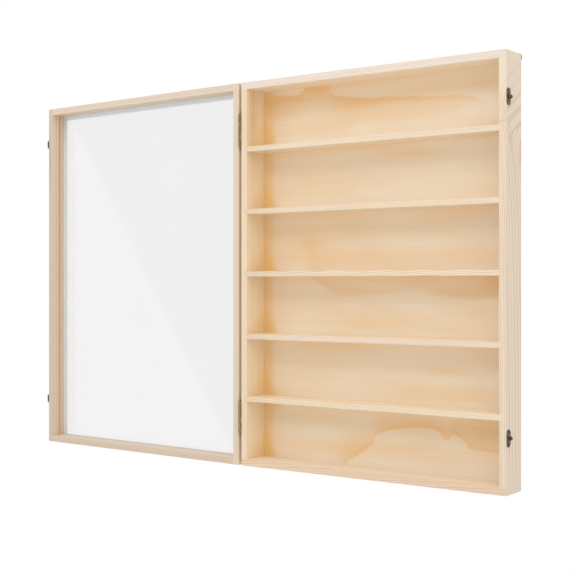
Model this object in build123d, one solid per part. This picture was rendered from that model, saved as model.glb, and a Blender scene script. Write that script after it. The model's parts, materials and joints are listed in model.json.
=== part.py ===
from build123d import *
import os
from math import atan2, degrees, hypot

# A shallow wooden wall case with six tiers and a deep framed door with a clear pane.
# The origin is the middle of the case's back, on the plane of the wall.
# +X is to the right as seen from the front, +Y points into the wall and +Z up.
# All lengths are in millimetres and all angles in degrees.

# Case: four boards, a thin back let into them, and shelves housed in the sides.
CASE_WIDTH = 450.0
CASE_HEIGHT = 600.0
CASE_DEPTH = 48.0
BOARD_THICKNESS = 11.0
ARRIS_RADIUS = 0.8
BACK_THICKNESS = 3.0
BACK_LAP = 5.0
BACK_EDGE_GAP = 0.25
SHELF_COUNT = 5
SHELF_THICKNESS = 8.0
SHELF_HOUSING = 4.0
SHELF_ARRIS = 0.5

# Door: two full-height stiles with the rails between them, and a pane in their grooves.
DOOR_DEPTH = 30.0
DOOR_MEMBER = 11.0
DOOR_GAP = 0.5
DOOR_OPEN_ANGLE = 182.2
PANE_RECESS = 26.0
PANE_THICKNESS = 2.0
PANE_LAP = 5.0
PANE_EDGE_GAP = 1.0

# Brads: thin round nails at the corners of both boxes and around the back.
BRAD_RADIUS = 0.7
BRAD_HEAD_RADIUS = 1.2
BRAD_HEAD_THICKNESS = 0.7
CORNER_BRAD_LENGTH = 28.0
CASE_BRAD_INSET = 12.0
DOOR_BRAD_INSET = 8.0
DOOR_BRAD_PITCH = 8.0
BACK_BRAD_LENGTH = 9.0
BACK_BRADS_PER_END = 4
BACK_BRAD_MARGIN = 45.0

# Butt hinges on the left side faces, with the pin in line with the gap.
HINGE_INSET = 75.5
HINGE_LENGTH = 51.0
HINGE_LEAF_WIDTH = 14.0
HINGE_LEAF_THICKNESS = 1.2
HINGE_CORNER_RADIUS = 2.0
HINGE_BARREL_RADIUS = 2.45
HINGE_BARREL_CLEARANCE = 0.3
HINGE_KNUCKLES = 5
KNUCKLE_END_GAP = 0.3
HINGE_PIN_RADIUS = 1.2
HINGE_PIN_CLEARANCE = 0.05
HINGE_PIN_TIP = 0.6
HINGE_SCREW_PITCH = 18.0
HINGE_SCREW_LINE = 8.5
SCREW_HEAD_RADIUS = 2.4
SCREW_SHANK_RADIUS = 1.2
SCREW_TIP_COVER = 0.8
CROSS_RECESS_LENGTH = 2.6
CROSS_RECESS_WIDTH = 0.55
CROSS_RECESS_DEPTH = 0.7

# Box latches: a slotted tongue hinged on the door drops over a bill on the case.
UPPER_LATCH_DROP = 63.5
LOWER_LATCH_RISE = 77.0
LATCH_PLATE_LENGTH = 24.0
LATCH_PLATE_WIDTH = 11.5
LATCH_SHEET = 0.8
LATCH_EDGE_MARGIN = 0.2
LATCH_BARREL_RADIUS = 1.5
LATCH_AXIS_HEIGHT = 2.0
LATCH_AXIS_SETBACK = 0.9
LATCH_PIN_RADIUS = 0.7
LATCH_PIN_CLEARANCE = 0.05
LATCH_CLEARANCE = 0.3
TONGUE_WIDTH = 12.0
TONGUE_NECK_WIDTH = 4.6
TONGUE_REACH = 15.2
TONGUE_LIFT = 1.1
TONGUE_LIP_HEIGHT = 2.0
TONGUE_CORNER_RADIUS = 2.5
TONGUE_FOLD_ANGLE = 178.0
SLOT_START = 5.6
SLOT_END = 12.5
SLOT_WIDTH = 6.6
BILL_WIDTH = 5.6
BILL_THICKNESS = 0.9
BILL_ROOT = 6.2
BILL_LEAN = 3.4
BILL_HEIGHT = 3.7
BILL_TIP_RADIUS = 2.4
LATCH_SCREW_PITCH = 16.8
LATCH_SCREW_HEAD_RADIUS = 1.6
LATCH_SCREW_HEAD_HEIGHT = 0.9
LATCH_SCREW_SHANK_RADIUS = 0.8
LATCH_SCREW_SLOT_WIDTH = 0.4
LATCH_SCREW_SLOT_DEPTH = 0.45

# Ring hangers on the back edges of the sides, with their rings standing up at the top.
HANGER_INSET = 4.4
RING_CENTRE_DROP = 2.6
RING_BEND_RADIUS = 3.65
RING_WIRE_RADIUS = 0.75
RING_SIDE_LENGTH = 3.0
RING_CORNER_RADIUS = 1.2
RING_LEAN = 3.0
RING_CLEARANCE = 0.08
STRAP_SHEET = 0.6
STRAP_WIDTH = 4.4
STRAP_LENGTH = 20.0
STRAP_CLOSING_DROP = 5.0
STRAP_CORNER_RADIUS = 1.8
STRAP_SCREW_DROP = 14.5
HANGER_SCREW_HEAD_RADIUS = 2.0
HANGER_SCREW_HEAD_HEIGHT = 1.1
HANGER_SCREW_SHANK_RADIUS = 1.1
HANGER_SCREW_LENGTH = 10.0

# Planes and places worked out from the sizes above. The screws stop short of the housings.
HALF_WIDTH = CASE_WIDTH / 2
HALF_HEIGHT = CASE_HEIGHT / 2
INNER_HALF_WIDTH = HALF_WIDTH - BOARD_THICKNESS
INNER_HALF_HEIGHT = HALF_HEIGHT - BOARD_THICKNESS
CASE_FRONT = -CASE_DEPTH
DOOR_BACK = CASE_FRONT - DOOR_GAP
DOOR_FRONT = DOOR_BACK - DOOR_DEPTH
MATING_PLANE = (CASE_FRONT + DOOR_BACK) / 2
DOOR_INNER_HALF_WIDTH = HALF_WIDTH - DOOR_MEMBER
DOOR_INNER_HALF_HEIGHT = HALF_HEIGHT - DOOR_MEMBER
TIER_HEIGHT = (2 * INNER_HALF_HEIGHT - SHELF_COUNT * SHELF_THICKNESS) / (SHELF_COUNT + 1)
HINGE_AXIS_HEIGHT = HINGE_BARREL_RADIUS + HINGE_BARREL_CLEARANCE
HINGE_AXIS_X = -HALF_WIDTH - HINGE_AXIS_HEIGHT
CASE_KNUCKLES = range(0, HINGE_KNUCKLES, 2)
DOOR_KNUCKLES = range(1, HINGE_KNUCKLES, 2)
HINGE_HEIGHTS = {"upper": HALF_HEIGHT - HINGE_INSET, "lower": HINGE_INSET - HALF_HEIGHT}
LATCH_HEIGHTS = {"upper": HALF_HEIGHT - UPPER_LATCH_DROP, "lower": LOWER_LATCH_RISE - HALF_HEIGHT}
LATCH_AXIS_V = -DOOR_GAP / 2 - LATCH_AXIS_SETBACK
CATCH_START = DOOR_GAP / 2 + LATCH_EDGE_MARGIN
CATCH_CENTRE = CATCH_START + LATCH_PLATE_WIDTH / 2
LATCH_PLATE_CENTRE = -CATCH_CENTRE
RING_BAR_DROP = RING_CENTRE_DROP + RING_SIDE_LENGTH + RING_CORNER_RADIUS
RING_BAR_HEIGHT = HALF_HEIGHT - RING_BAR_DROP
RING_BAR_Y = STRAP_SHEET + RING_CLEARANCE + RING_WIRE_RADIUS
HANGER_X = HALF_WIDTH - HANGER_INSET

SCREW_BITE = BOARD_THICKNESS - SHELF_HOUSING - SCREW_TIP_COVER
HINGE_SCREW_LENGTH = HINGE_LEAF_THICKNESS + SCREW_BITE
LATCH_SCREW_LENGTH = LATCH_SHEET + SCREW_BITE

BASE_CENTRED = (Align.CENTER, Align.CENTER, Align.MIN)
UP = (0, 0, 1)
DOWN = (0, 0, -1)
LEFT = (-1, 0, 0)
RIGHT = (1, 0, 0)
FORWARD = (0, -1, 0)
REARWARD = (0, 1, 0)


def block(low, high):
    """A box between its lowest and highest corners."""
    size = [top - bottom for bottom, top in zip(low, high)]
    return Pos(*low) * Box(*size, align=(Align.MIN, Align.MIN, Align.MIN))


def upright_rod(radius, x, y, low, high):
    """A round rod along Z between two heights."""
    return Pos(x, y, low) * Cylinder(radius, high - low, align=BASE_CENTRED)


def eased(solid, edges, radius):
    """A solid with the given edges rounded over."""
    return fillet(edges, radius) if edges else solid


def edges_beyond(solid, direction, limit, along=None):
    """The edges, or those along one axis, whose middles lie beyond a limit in a direction."""
    edges = solid.edges().filter_by(along) if along else solid.edges()
    return [edge for edge in edges if edge.center().dot(Vector(*direction)) > limit]


def brad(length):
    """A round nail along -Z with the face of its head on z = 0."""
    head = Cylinder(BRAD_HEAD_RADIUS, BRAD_HEAD_THICKNESS, align=(Align.CENTER, Align.CENTER, Align.MAX))
    shank = Cylinder(BRAD_RADIUS, length, align=(Align.CENTER, Align.CENTER, Align.MAX))
    return head + shank


def flat_head_screw(recessed):
    """A countersunk screw along -Z with its face on z = 0, with or without its cross recess."""
    head_height = SCREW_HEAD_RADIUS - SCREW_SHANK_RADIUS
    head = Pos(0, 0, -head_height / 2) * Cone(SCREW_SHANK_RADIUS, SCREW_HEAD_RADIUS, head_height)
    shank = Cylinder(SCREW_SHANK_RADIUS, HINGE_SCREW_LENGTH, align=(Align.CENTER, Align.CENTER, Align.MAX))
    screw = head + shank
    if recessed:
        bar = (CROSS_RECESS_LENGTH, CROSS_RECESS_WIDTH, 2 * CROSS_RECESS_DEPTH)
        screw -= Box(*bar)
        screw -= Rot(0, 0, 90) * Box(*bar)
    return screw


def round_head_screw(head_radius, head_height, shank_radius, length):
    """A domed screw along -Z with the underside of its head on z = 0."""
    dome_radius = (head_radius ** 2 + head_height ** 2) / (2 * head_height)
    dome = Pos(0, 0, head_height - dome_radius) * Sphere(dome_radius)
    head = dome & Cylinder(head_radius, head_height, align=BASE_CENTRED)
    shank = Cylinder(shank_radius, length, align=(Align.CENTER, Align.CENTER, Align.MAX))
    return head + shank


def placed(shape, places):
    """Copies of a shape whose own +Z points along each place's direction."""
    return [Plane(origin=point, z_dir=direction) * shape for point, direction in places]


def cut_by(solid, tools):
    """A solid with the room for each tool taken out of it."""
    for tool in tools:
        solid -= tool
    return solid


def swung_open(shape):
    """A piece of the closed door, turned on the hinge to where the open door rests."""
    axis = Pos(HINGE_AXIS_X, MATING_PLANE, 0)
    return axis * Rot(0, 0, -DOOR_OPEN_ANGLE) * axis.inverse() * shape


def folded_back(shape):
    """A latched tongue, turned on its pin until it lies back along the closed door."""
    axis = Pos(HALF_WIDTH + LATCH_AXIS_HEIGHT, MATING_PLANE + LATCH_AXIS_V, 0)
    return axis * Rot(0, 0, -TONGUE_FOLD_ANGLE) * axis.inverse() * shape


def on_right_side(shape, height):
    """Hardware drawn with X out of the side face and Y from the mating plane to the wall."""
    return Pos(HALF_WIDTH, MATING_PLANE, height) * shape


def on_left_side(shape, height):
    """The same, mirrored onto the left side face."""
    return Pos(-HALF_WIDTH, MATING_PLANE, height) * mirror(shape, about=Plane.YZ)


# Fastener places: a point on the surface and the direction that the head faces.

def case_brad_places():
    """Down and up through the top and bottom boards into the ends of the sides."""
    across = HALF_WIDTH - BOARD_THICKNESS / 2
    depths = (-CASE_BRAD_INSET, CASE_BRAD_INSET - CASE_DEPTH)
    return [
        ((x, y, z), direction)
        for z, direction in ((HALF_HEIGHT, UP), (-HALF_HEIGHT, DOWN))
        for x in (-across, across)
        for y in depths
    ]


def door_brad_places():
    """Through the stiles into the ends of the rails."""
    up = HALF_HEIGHT - DOOR_MEMBER / 2
    depths = (DOOR_BACK - DOOR_BRAD_INSET, DOOR_BACK - DOOR_BRAD_INSET - DOOR_BRAD_PITCH)
    return [
        ((x, y, z), direction)
        for x, direction in ((-HALF_WIDTH, LEFT), (HALF_WIDTH, RIGHT))
        for z in (-up, up)
        for y in depths
    ]


def spread(half_span, margin, count):
    """Evenly spaced places between two margins."""
    reach = half_span - margin
    return [-reach + 2 * reach * index / (count - 1) for index in range(count)]


def back_brad_places():
    """Around the back panel: one at each tier along the sides, and more along the ends."""
    x_line = INNER_HALF_WIDTH + BACK_LAP / 2
    z_line = INNER_HALF_HEIGHT + BACK_LAP / 2
    heights = [ceiling - TIER_HEIGHT / 2 for ceiling in [INNER_HALF_HEIGHT] + shelf_heights()]
    widths = spread(HALF_WIDTH, BACK_BRAD_MARGIN, BACK_BRADS_PER_END)
    sides = [((x, 0, z), REARWARD) for x in (-x_line, x_line) for z in heights]
    ends = [((x, 0, z), REARWARD) for z in (-z_line, z_line) for x in widths]
    return sides + ends


def hinge_screw_places(toward_case):
    """Three screws in a leaf, in the hinge's own frame."""
    line = HINGE_SCREW_LINE if toward_case else -HINGE_SCREW_LINE
    return [((HINGE_LEAF_THICKNESS, line, HINGE_SCREW_PITCH * step), RIGHT) for step in (-1, 0, 1)]


def latch_screw_places(centre):
    """One screw in each end of a latch plate, in the latch's own frame."""
    half_pitch = LATCH_SCREW_PITCH / 2
    return [((LATCH_SHEET, centre, z), RIGHT) for z in (-half_pitch, half_pitch)]


def hanger_screw_place():
    """The screw through both layers of the right-hand strap."""
    return ((HANGER_X, 2 * STRAP_SHEET, RING_BAR_HEIGHT - STRAP_SCREW_DROP), REARWARD)


# Case.

def back_rebate():
    """The room that the back panel takes in the four boards."""
    x = INNER_HALF_WIDTH + BACK_LAP
    z = INNER_HALF_HEIGHT + BACK_LAP
    return block((-x, -BACK_THICKNESS, -z), (x, 0, z))


def case_top_board():
    """The full-width top board, over the ends of the sides."""
    board = block((-HALF_WIDTH, CASE_FRONT, INNER_HALF_HEIGHT), (HALF_WIDTH, 0, HALF_HEIGHT))
    outer_edges = edges_beyond(board, UP, INNER_HALF_HEIGHT + ARRIS_RADIUS)
    return eased(board, outer_edges, ARRIS_RADIUS) - back_rebate()


def case_right_side():
    """A side board between the top and the bottom, with a housing for each shelf."""
    board = block(
        (INNER_HALF_WIDTH, CASE_FRONT, -INNER_HALF_HEIGHT),
        (HALF_WIDTH, 0, INNER_HALF_HEIGHT),
    )
    outer_edges = edges_beyond(board, RIGHT, INNER_HALF_WIDTH + ARRIS_RADIUS, along=Axis.Z)
    board = eased(board, outer_edges, ARRIS_RADIUS) - back_rebate()
    for base in shelf_heights():
        board -= block(
            (INNER_HALF_WIDTH, CASE_FRONT, base),
            (INNER_HALF_WIDTH + SHELF_HOUSING, -BACK_THICKNESS, base + SHELF_THICKNESS),
        )
    return board


def back_panel():
    """The thin plywood back, flush with the rear of the boards."""
    x = INNER_HALF_WIDTH + BACK_LAP - BACK_EDGE_GAP
    z = INNER_HALF_HEIGHT + BACK_LAP - BACK_EDGE_GAP
    return block((-x, -BACK_THICKNESS, -z), (x, 0, z))


def shelf_heights():
    """The underside of each shelf, from the top one down."""
    step = TIER_HEIGHT + SHELF_THICKNESS
    return [INNER_HALF_HEIGHT - step * number for number in range(1, SHELF_COUNT + 1)]


def shelf(base):
    """A shelf whose ends run into the sides' housings."""
    reach = INNER_HALF_WIDTH + SHELF_HOUSING
    board = block((-reach, CASE_FRONT, base), (reach, -BACK_THICKNESS, base + SHELF_THICKNESS))
    return eased(board, edges_beyond(board, FORWARD, CASE_DEPTH - SHELF_ARRIS, along=Axis.X), SHELF_ARRIS)


# Door, drawn closed.

def pane_pocket():
    """The room that the pane has in the four grooves."""
    x = DOOR_INNER_HALF_WIDTH + PANE_LAP + PANE_EDGE_GAP
    z = DOOR_INNER_HALF_HEIGHT + PANE_LAP + PANE_EDGE_GAP
    inner_face = DOOR_BACK - PANE_RECESS
    return block((-x, inner_face - PANE_THICKNESS, -z), (x, inner_face, z))


def door_pane():
    """The clear sheet, held in the grooves with room to grow at its edges."""
    x = DOOR_INNER_HALF_WIDTH + PANE_LAP
    z = DOOR_INNER_HALF_HEIGHT + PANE_LAP
    inner_face = DOOR_BACK - PANE_RECESS
    return block((-x, inner_face - PANE_THICKNESS, -z), (x, inner_face, z))


def door_right_stile():
    """A full-height member of the door's frame."""
    stile = block(
        (DOOR_INNER_HALF_WIDTH, DOOR_FRONT, -HALF_HEIGHT),
        (HALF_WIDTH, DOOR_BACK, HALF_HEIGHT),
    )
    outer_edges = edges_beyond(stile, RIGHT, DOOR_INNER_HALF_WIDTH + ARRIS_RADIUS)
    return eased(stile, outer_edges, ARRIS_RADIUS) - pane_pocket()


def door_top_rail():
    """A member between the stiles."""
    rail = block(
        (-DOOR_INNER_HALF_WIDTH, DOOR_FRONT, DOOR_INNER_HALF_HEIGHT),
        (DOOR_INNER_HALF_WIDTH, DOOR_BACK, HALF_HEIGHT),
    )
    outer_edges = edges_beyond(rail, UP, HALF_HEIGHT - ARRIS_RADIUS, along=Axis.X)
    return eased(rail, outer_edges, ARRIS_RADIUS) - pane_pocket()


# Hinges, drawn with X out of the side face, Y from the mating plane and Z along the pin.

def hinge_leaf(own_knuckles, bore_radius):
    """A leaf that lies on the face x = 0 and reaches from its knuckles along +Y."""
    half_length = HINGE_LENGTH / 2
    pitch = HINGE_LENGTH / HINGE_KNUCKLES
    leaf = block((0, DOOR_GAP, -half_length), (HINGE_LEAF_THICKNESS, HINGE_LEAF_WIDTH, half_length))
    far_corners = edges_beyond(leaf, REARWARD, HINGE_LEAF_WIDTH / 2, along=Axis.X)
    leaf = eased(leaf, far_corners, HINGE_CORNER_RADIUS)
    notch_depth = HINGE_BARREL_RADIUS + HINGE_BARREL_CLEARANCE
    for index in range(HINGE_KNUCKLES):
        low = index * pitch - half_length
        if index in own_knuckles:
            leaf += upright_rod(
                HINGE_BARREL_RADIUS, HINGE_AXIS_HEIGHT, 0,
                low + KNUCKLE_END_GAP / 2, low + pitch - KNUCKLE_END_GAP / 2,
            )
        else:
            leaf -= block(
                (0, 0, low - KNUCKLE_END_GAP / 2),
                (HINGE_LEAF_THICKNESS, notch_depth, low + pitch + KNUCKLE_END_GAP / 2),
            )
    return leaf - upright_rod(bore_radius, HINGE_AXIS_HEIGHT, 0, -half_length, half_length)


def hinge_case_leaf():
    """The leaf with the end knuckles, which grip the pin."""
    leaf = hinge_leaf(CASE_KNUCKLES, HINGE_PIN_RADIUS)
    return cut_by(leaf, placed(flat_head_screw(False), hinge_screw_places(True)))


def hinge_door_leaf():
    """The leaf with the inner knuckles, which turn on the pin."""
    leaf = hinge_leaf(DOOR_KNUCKLES, HINGE_PIN_RADIUS + HINGE_PIN_CLEARANCE)
    leaf = mirror(leaf, about=Plane.XZ)
    return cut_by(leaf, placed(flat_head_screw(False), hinge_screw_places(False)))


def hinge_pin():
    """The pin, with a rounded tip at each end of the barrel."""
    reach = HINGE_LENGTH / 2 + HINGE_PIN_TIP
    pin = upright_rod(HINGE_PIN_RADIUS, HINGE_AXIS_HEIGHT, 0, -reach, reach)
    return eased(pin, pin.edges().filter_by(GeomType.CIRCLE), HINGE_PIN_TIP)


# Latches, drawn like the hinges, with the door's half on the side of -Y.

def stadium_plate(centre):
    """A thin upright plate with round ends on the face x = 0."""
    outline = Plane.YZ * Pos(centre, 0) * SlotOverall(LATCH_PLATE_LENGTH, LATCH_PLATE_WIDTH, rotation=90)
    return extrude(outline, LATCH_SHEET)


def catch_plate():
    """The case's half: a plate with a bill that leans away from the door."""
    root = (LATCH_SHEET / 2, CATCH_START + BILL_ROOT)
    tip = (LATCH_SHEET + BILL_HEIGHT, CATCH_START + BILL_ROOT + BILL_LEAN)
    bill_length = hypot(tip[0] - root[0], tip[1] - root[1])
    bill = block((0, 0, -BILL_WIDTH / 2), (bill_length, BILL_THICKNESS, BILL_WIDTH / 2))
    bill = eased(bill, edges_beyond(bill, RIGHT, bill_length / 2, along=Axis.Y), BILL_TIP_RADIUS)
    lean = degrees(atan2(tip[1] - root[1], tip[0] - root[0]))
    plate = stadium_plate(CATCH_CENTRE) + Pos(*root, 0) * Rot(0, 0, lean) * bill
    plate -= block((-BILL_THICKNESS, CATCH_START, -BILL_WIDTH), (0, CATCH_CENTRE + BILL_ROOT, BILL_WIDTH))
    return cut_by(plate, placed(latch_screw(False), latch_screw_places(CATCH_CENTRE)))


def latch_screw(slotted):
    """A small round-headed screw, with or without its slot."""
    screw = round_head_screw(
        LATCH_SCREW_HEAD_RADIUS, LATCH_SCREW_HEAD_HEIGHT, LATCH_SCREW_SHANK_RADIUS, LATCH_SCREW_LENGTH,
    )
    if slotted:
        slot_size = (2 * LATCH_SCREW_HEAD_RADIUS, LATCH_SCREW_SLOT_WIDTH, 2 * LATCH_SCREW_SLOT_DEPTH)
        screw -= Pos(0, 0, LATCH_SCREW_HEAD_HEIGHT) * Box(*slot_size)
    return screw


def latch_barrel(radius, low, high):
    """A length of the latch's barrel or of its bore."""
    return upright_rod(radius, LATCH_AXIS_HEIGHT, LATCH_AXIS_V, low, high)


def latch_plate():
    """The door's half: a plate whose two outer knuckles grip the pin."""
    plate = stadium_plate(LATCH_PLATE_CENTRE)
    half_barrel = TONGUE_WIDTH / 2
    half_notch = TONGUE_NECK_WIDTH / 2 + LATCH_CLEARANCE
    notch_start = LATCH_AXIS_V - LATCH_BARREL_RADIUS - LATCH_CLEARANCE
    for side in (-1, 1):
        low, high = sorted((side * half_notch, side * half_barrel))
        plate += latch_barrel(LATCH_BARREL_RADIUS, low, high)
        plate += block(
            (0, LATCH_AXIS_V - LATCH_BARREL_RADIUS, low),
            (LATCH_AXIS_HEIGHT, LATCH_AXIS_V, high),
        )
    plate -= block((0, notch_start, -half_notch), (LATCH_AXIS_HEIGHT, -DOOR_GAP / 2, half_notch))
    plate -= latch_barrel(LATCH_PIN_RADIUS, -half_barrel, half_barrel)
    return cut_by(plate, placed(latch_screw(False), latch_screw_places(LATCH_PLATE_CENTRE)))


def latch_pin():
    """The short pin through the latch's knuckles."""
    return latch_barrel(LATCH_PIN_RADIUS, -TONGUE_WIDTH / 2, TONGUE_WIDTH / 2)


def latch_tongue():
    """The slotted tongue, drawn latched, with its neck rolled round the pin."""
    half_width = TONGUE_WIDTH / 2
    half_neck = TONGUE_NECK_WIDTH / 2
    top = TONGUE_LIFT + LATCH_SHEET
    shoulder = LATCH_AXIS_V + LATCH_BARREL_RADIUS + LATCH_CLEARANCE
    end = LATCH_AXIS_V + TONGUE_REACH
    lip_top = TONGUE_LIFT + TONGUE_LIP_HEIGHT
    tongue = block((TONGUE_LIFT, shoulder, -half_width), (top, end, half_width))
    tongue += block((TONGUE_LIFT, end - LATCH_SHEET, -half_width), (lip_top, end, half_width))
    tongue = eased(tongue, edges_beyond(tongue, RIGHT, top, along=Axis.Y), TONGUE_LIP_HEIGHT - LATCH_SHEET)
    tongue -= block(
        (TONGUE_LIFT, LATCH_AXIS_V + SLOT_START, -SLOT_WIDTH / 2),
        (top, LATCH_AXIS_V + SLOT_END, SLOT_WIDTH / 2),
    )
    shoulders = edges_beyond(tongue, FORWARD, -shoulder - LATCH_CLEARANCE, along=Axis.X)
    tongue = eased(tongue, shoulders, TONGUE_CORNER_RADIUS)
    tongue += block((TONGUE_LIFT, LATCH_AXIS_V, -half_neck), (top, shoulder, half_neck))
    tongue += latch_barrel(LATCH_BARREL_RADIUS, -half_neck, half_neck)
    return tongue - latch_barrel(LATCH_PIN_RADIUS + LATCH_PIN_CLEARANCE, -half_neck, half_neck)


# Hangers, drawn on the right.

def hanger_ring():
    """A D-shaped wire ring that stands up and leans on the back of the case."""
    corner_x = RING_BEND_RADIUS - RING_CORNER_RADIUS
    bend_height = RING_CORNER_RADIUS + RING_SIDE_LENGTH
    in_plane = Rot(90, 0, 0)
    bend = in_plane * Torus(RING_BEND_RADIUS, RING_WIRE_RADIUS, major_angle=180, align=None)
    corner = in_plane * Torus(RING_CORNER_RADIUS, RING_WIRE_RADIUS, major_angle=90, align=None)
    ring = Pos(0, 0, bend_height) * bend
    ring += Pos(corner_x, 0, RING_CORNER_RADIUS) * Rot(0, 90, 0) * corner
    ring += Pos(-corner_x, 0, RING_CORNER_RADIUS) * Rot(0, 180, 0) * corner
    for side in (-RING_BEND_RADIUS, RING_BEND_RADIUS):
        ring += upright_rod(RING_WIRE_RADIUS, side, 0, RING_CORNER_RADIUS, bend_height)
    ring += Rot(0, 90, 0) * Cylinder(RING_WIRE_RADIUS, 2 * corner_x)
    return Pos(HANGER_X, RING_BAR_Y, RING_BAR_HEIGHT) * Rot(RING_LEAN, 0, 0) * ring


def hanger_strap():
    """A strip folded round the ring's straight bar, its two layers screwed to the case."""
    loop_inner = RING_WIRE_RADIUS + RING_CLEARANCE
    loop_outer = loop_inner + STRAP_SHEET
    bar = (RING_BAR_Y, RING_BAR_HEIGHT)
    bottom = RING_BAR_HEIGHT - STRAP_LENGTH
    closing = RING_BAR_HEIGHT - STRAP_CLOSING_DROP
    outline = Polygon(
        (0, bottom), (2 * STRAP_SHEET, bottom), (2 * STRAP_SHEET, closing),
        (RING_BAR_Y + loop_outer, RING_BAR_HEIGHT), (0, RING_BAR_HEIGHT), align=None,
    )
    outline += Pos(*bar) * Circle(loop_outer)
    eye = Pos(*bar) * Circle(loop_inner)
    throat = Polygon(
        (STRAP_SHEET, RING_BAR_HEIGHT), (STRAP_SHEET, closing),
        (RING_BAR_Y + loop_inner, RING_BAR_HEIGHT), align=None,
    )
    profile = Plane.YZ * (outline - eye - throat)
    strap = Pos(-STRAP_WIDTH / 2, 0, 0) * extrude(profile, STRAP_WIDTH)
    lower_corners = edges_beyond(strap, DOWN, -bottom - STRAP_SHEET, along=Axis.Y)
    strap = Pos(HANGER_X, 0, 0) * eased(strap, lower_corners, STRAP_CORNER_RADIUS)
    return cut_by(strap, placed(hanger_screw(), [hanger_screw_place()]))


def hanger_screw():
    """A round-headed screw through the strap into the side board."""
    return round_head_screw(
        HANGER_SCREW_HEAD_RADIUS, HANGER_SCREW_HEAD_HEIGHT, HANGER_SCREW_SHANK_RADIUS, HANGER_SCREW_LENGTH,
    )


def group(solids):
    """Like pieces that share one node, each still a solid of its own."""
    return Compound(children=[piece.solid() for piece in solids])


# Fasteners where they lie, on the closed cabinet.
case_brads = placed(brad(CORNER_BRAD_LENGTH), case_brad_places())
door_brads = placed(brad(CORNER_BRAD_LENGTH), door_brad_places())
back_brads = placed(brad(BACK_BRAD_LENGTH), back_brad_places())
right_hanger_screw = placed(hanger_screw(), [hanger_screw_place()])[0]
hanger_screws = [right_hanger_screw, mirror(right_hanger_screw, about=Plane.YZ)]


def hinge_screws(toward_case, recessed):
    """The screws of both hinges in one of the two boxes."""
    screws = placed(flat_head_screw(recessed), hinge_screw_places(toward_case))
    return [on_left_side(screw, height) for height in HINGE_HEIGHTS.values() for screw in screws]


def latch_screws(centre, slotted):
    """The screws of both latches in one of the two boxes."""
    screws = placed(latch_screw(slotted), latch_screw_places(centre))
    return [on_right_side(screw, height) for height in LATCH_HEIGHTS.values() for screw in screws]


# The case's pieces.
top = case_top_board()
right = case_right_side()
left = mirror(right, about=Plane.YZ)
nodes = {
    "case_top_board": cut_by(top, case_brads + back_brads),
    "case_bottom_board": cut_by(mirror(top, about=Plane.XY), case_brads + back_brads),
    "case_left_side": cut_by(left, case_brads + back_brads + hanger_screws + hinge_screws(True, False)),
    "case_right_side": cut_by(
        right, case_brads + back_brads + hanger_screws + latch_screws(CATCH_CENTRE, False)
    ),
    "back_panel": cut_by(back_panel(), back_brads),
    "case_corner_brads": group(case_brads),
    "back_panel_brads": group(back_brads),
    "hanger_screws": group(hanger_screws),
    "hinge_case_screws": group(hinge_screws(True, True)),
    "catch_screws": group(latch_screws(CATCH_CENTRE, True)),
}
for number, base in enumerate(shelf_heights(), start=1):
    nodes[f"shelf_{number}"] = shelf(base)
for name, height in HINGE_HEIGHTS.items():
    nodes[f"{name}_hinge_case_leaf"] = on_left_side(hinge_case_leaf(), height)
    nodes[f"{name}_hinge_pin"] = on_left_side(hinge_pin(), height)
for name, height in LATCH_HEIGHTS.items():
    nodes[f"{name}_catch_plate"] = on_right_side(catch_plate(), height)
nodes["right_hanger_strap"] = hanger_strap()
nodes["right_hanger_ring"] = hanger_ring()
nodes["left_hanger_strap"] = mirror(hanger_strap(), about=Plane.YZ)
nodes["left_hanger_ring"] = mirror(hanger_ring(), about=Plane.YZ)

# The door's pieces, drawn closed and then swung open.
right_stile = door_right_stile()
left_stile = mirror(right_stile, about=Plane.YZ)
top_rail = door_top_rail()
door_nodes = {
    "door_latch_stile": cut_by(right_stile, door_brads + latch_screws(LATCH_PLATE_CENTRE, False)),
    "door_hinge_stile": cut_by(left_stile, door_brads + hinge_screws(False, False)),
    "door_top_rail": cut_by(top_rail, door_brads),
    "door_bottom_rail": cut_by(mirror(top_rail, about=Plane.XY), door_brads),
    "door_pane": door_pane(),
    "door_corner_brads": group(door_brads),
    "hinge_door_screws": group(hinge_screws(False, True)),
    "latch_plate_screws": group(latch_screws(LATCH_PLATE_CENTRE, True)),
}
for name, height in HINGE_HEIGHTS.items():
    door_nodes[f"{name}_hinge_door_leaf"] = on_left_side(hinge_door_leaf(), height)
for name, height in LATCH_HEIGHTS.items():
    door_nodes[f"{name}_latch_plate"] = on_right_side(latch_plate(), height)
    door_nodes[f"{name}_latch_pin"] = on_right_side(latch_pin(), height)
    door_nodes[f"{name}_latch_tongue"] = folded_back(on_right_side(latch_tongue(), height))
for name, piece in door_nodes.items():
    nodes[name] = swung_open(piece)

os.makedirs("parts", exist_ok=True)
for name, piece in nodes.items():
    export_step(piece, f"parts/{name}.step")
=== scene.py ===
"""The finishes, light and camera of a wall display cabinet with a deep glazed door."""

import json
import logging
import math
from dataclasses import dataclass
from enum import Enum
from typing import Any, Optional, Union

import bpy
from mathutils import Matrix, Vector


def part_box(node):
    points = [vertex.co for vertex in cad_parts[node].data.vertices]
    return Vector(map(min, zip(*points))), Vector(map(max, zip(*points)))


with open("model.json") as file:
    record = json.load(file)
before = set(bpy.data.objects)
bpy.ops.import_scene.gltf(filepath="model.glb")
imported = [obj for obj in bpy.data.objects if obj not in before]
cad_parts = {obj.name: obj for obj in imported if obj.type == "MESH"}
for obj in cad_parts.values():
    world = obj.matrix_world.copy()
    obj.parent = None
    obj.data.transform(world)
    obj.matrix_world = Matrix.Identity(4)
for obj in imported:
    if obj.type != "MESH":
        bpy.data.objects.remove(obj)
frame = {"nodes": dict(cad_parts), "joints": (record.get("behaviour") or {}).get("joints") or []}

IMAGE_WIDTH = 576
MM = 0.001

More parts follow.
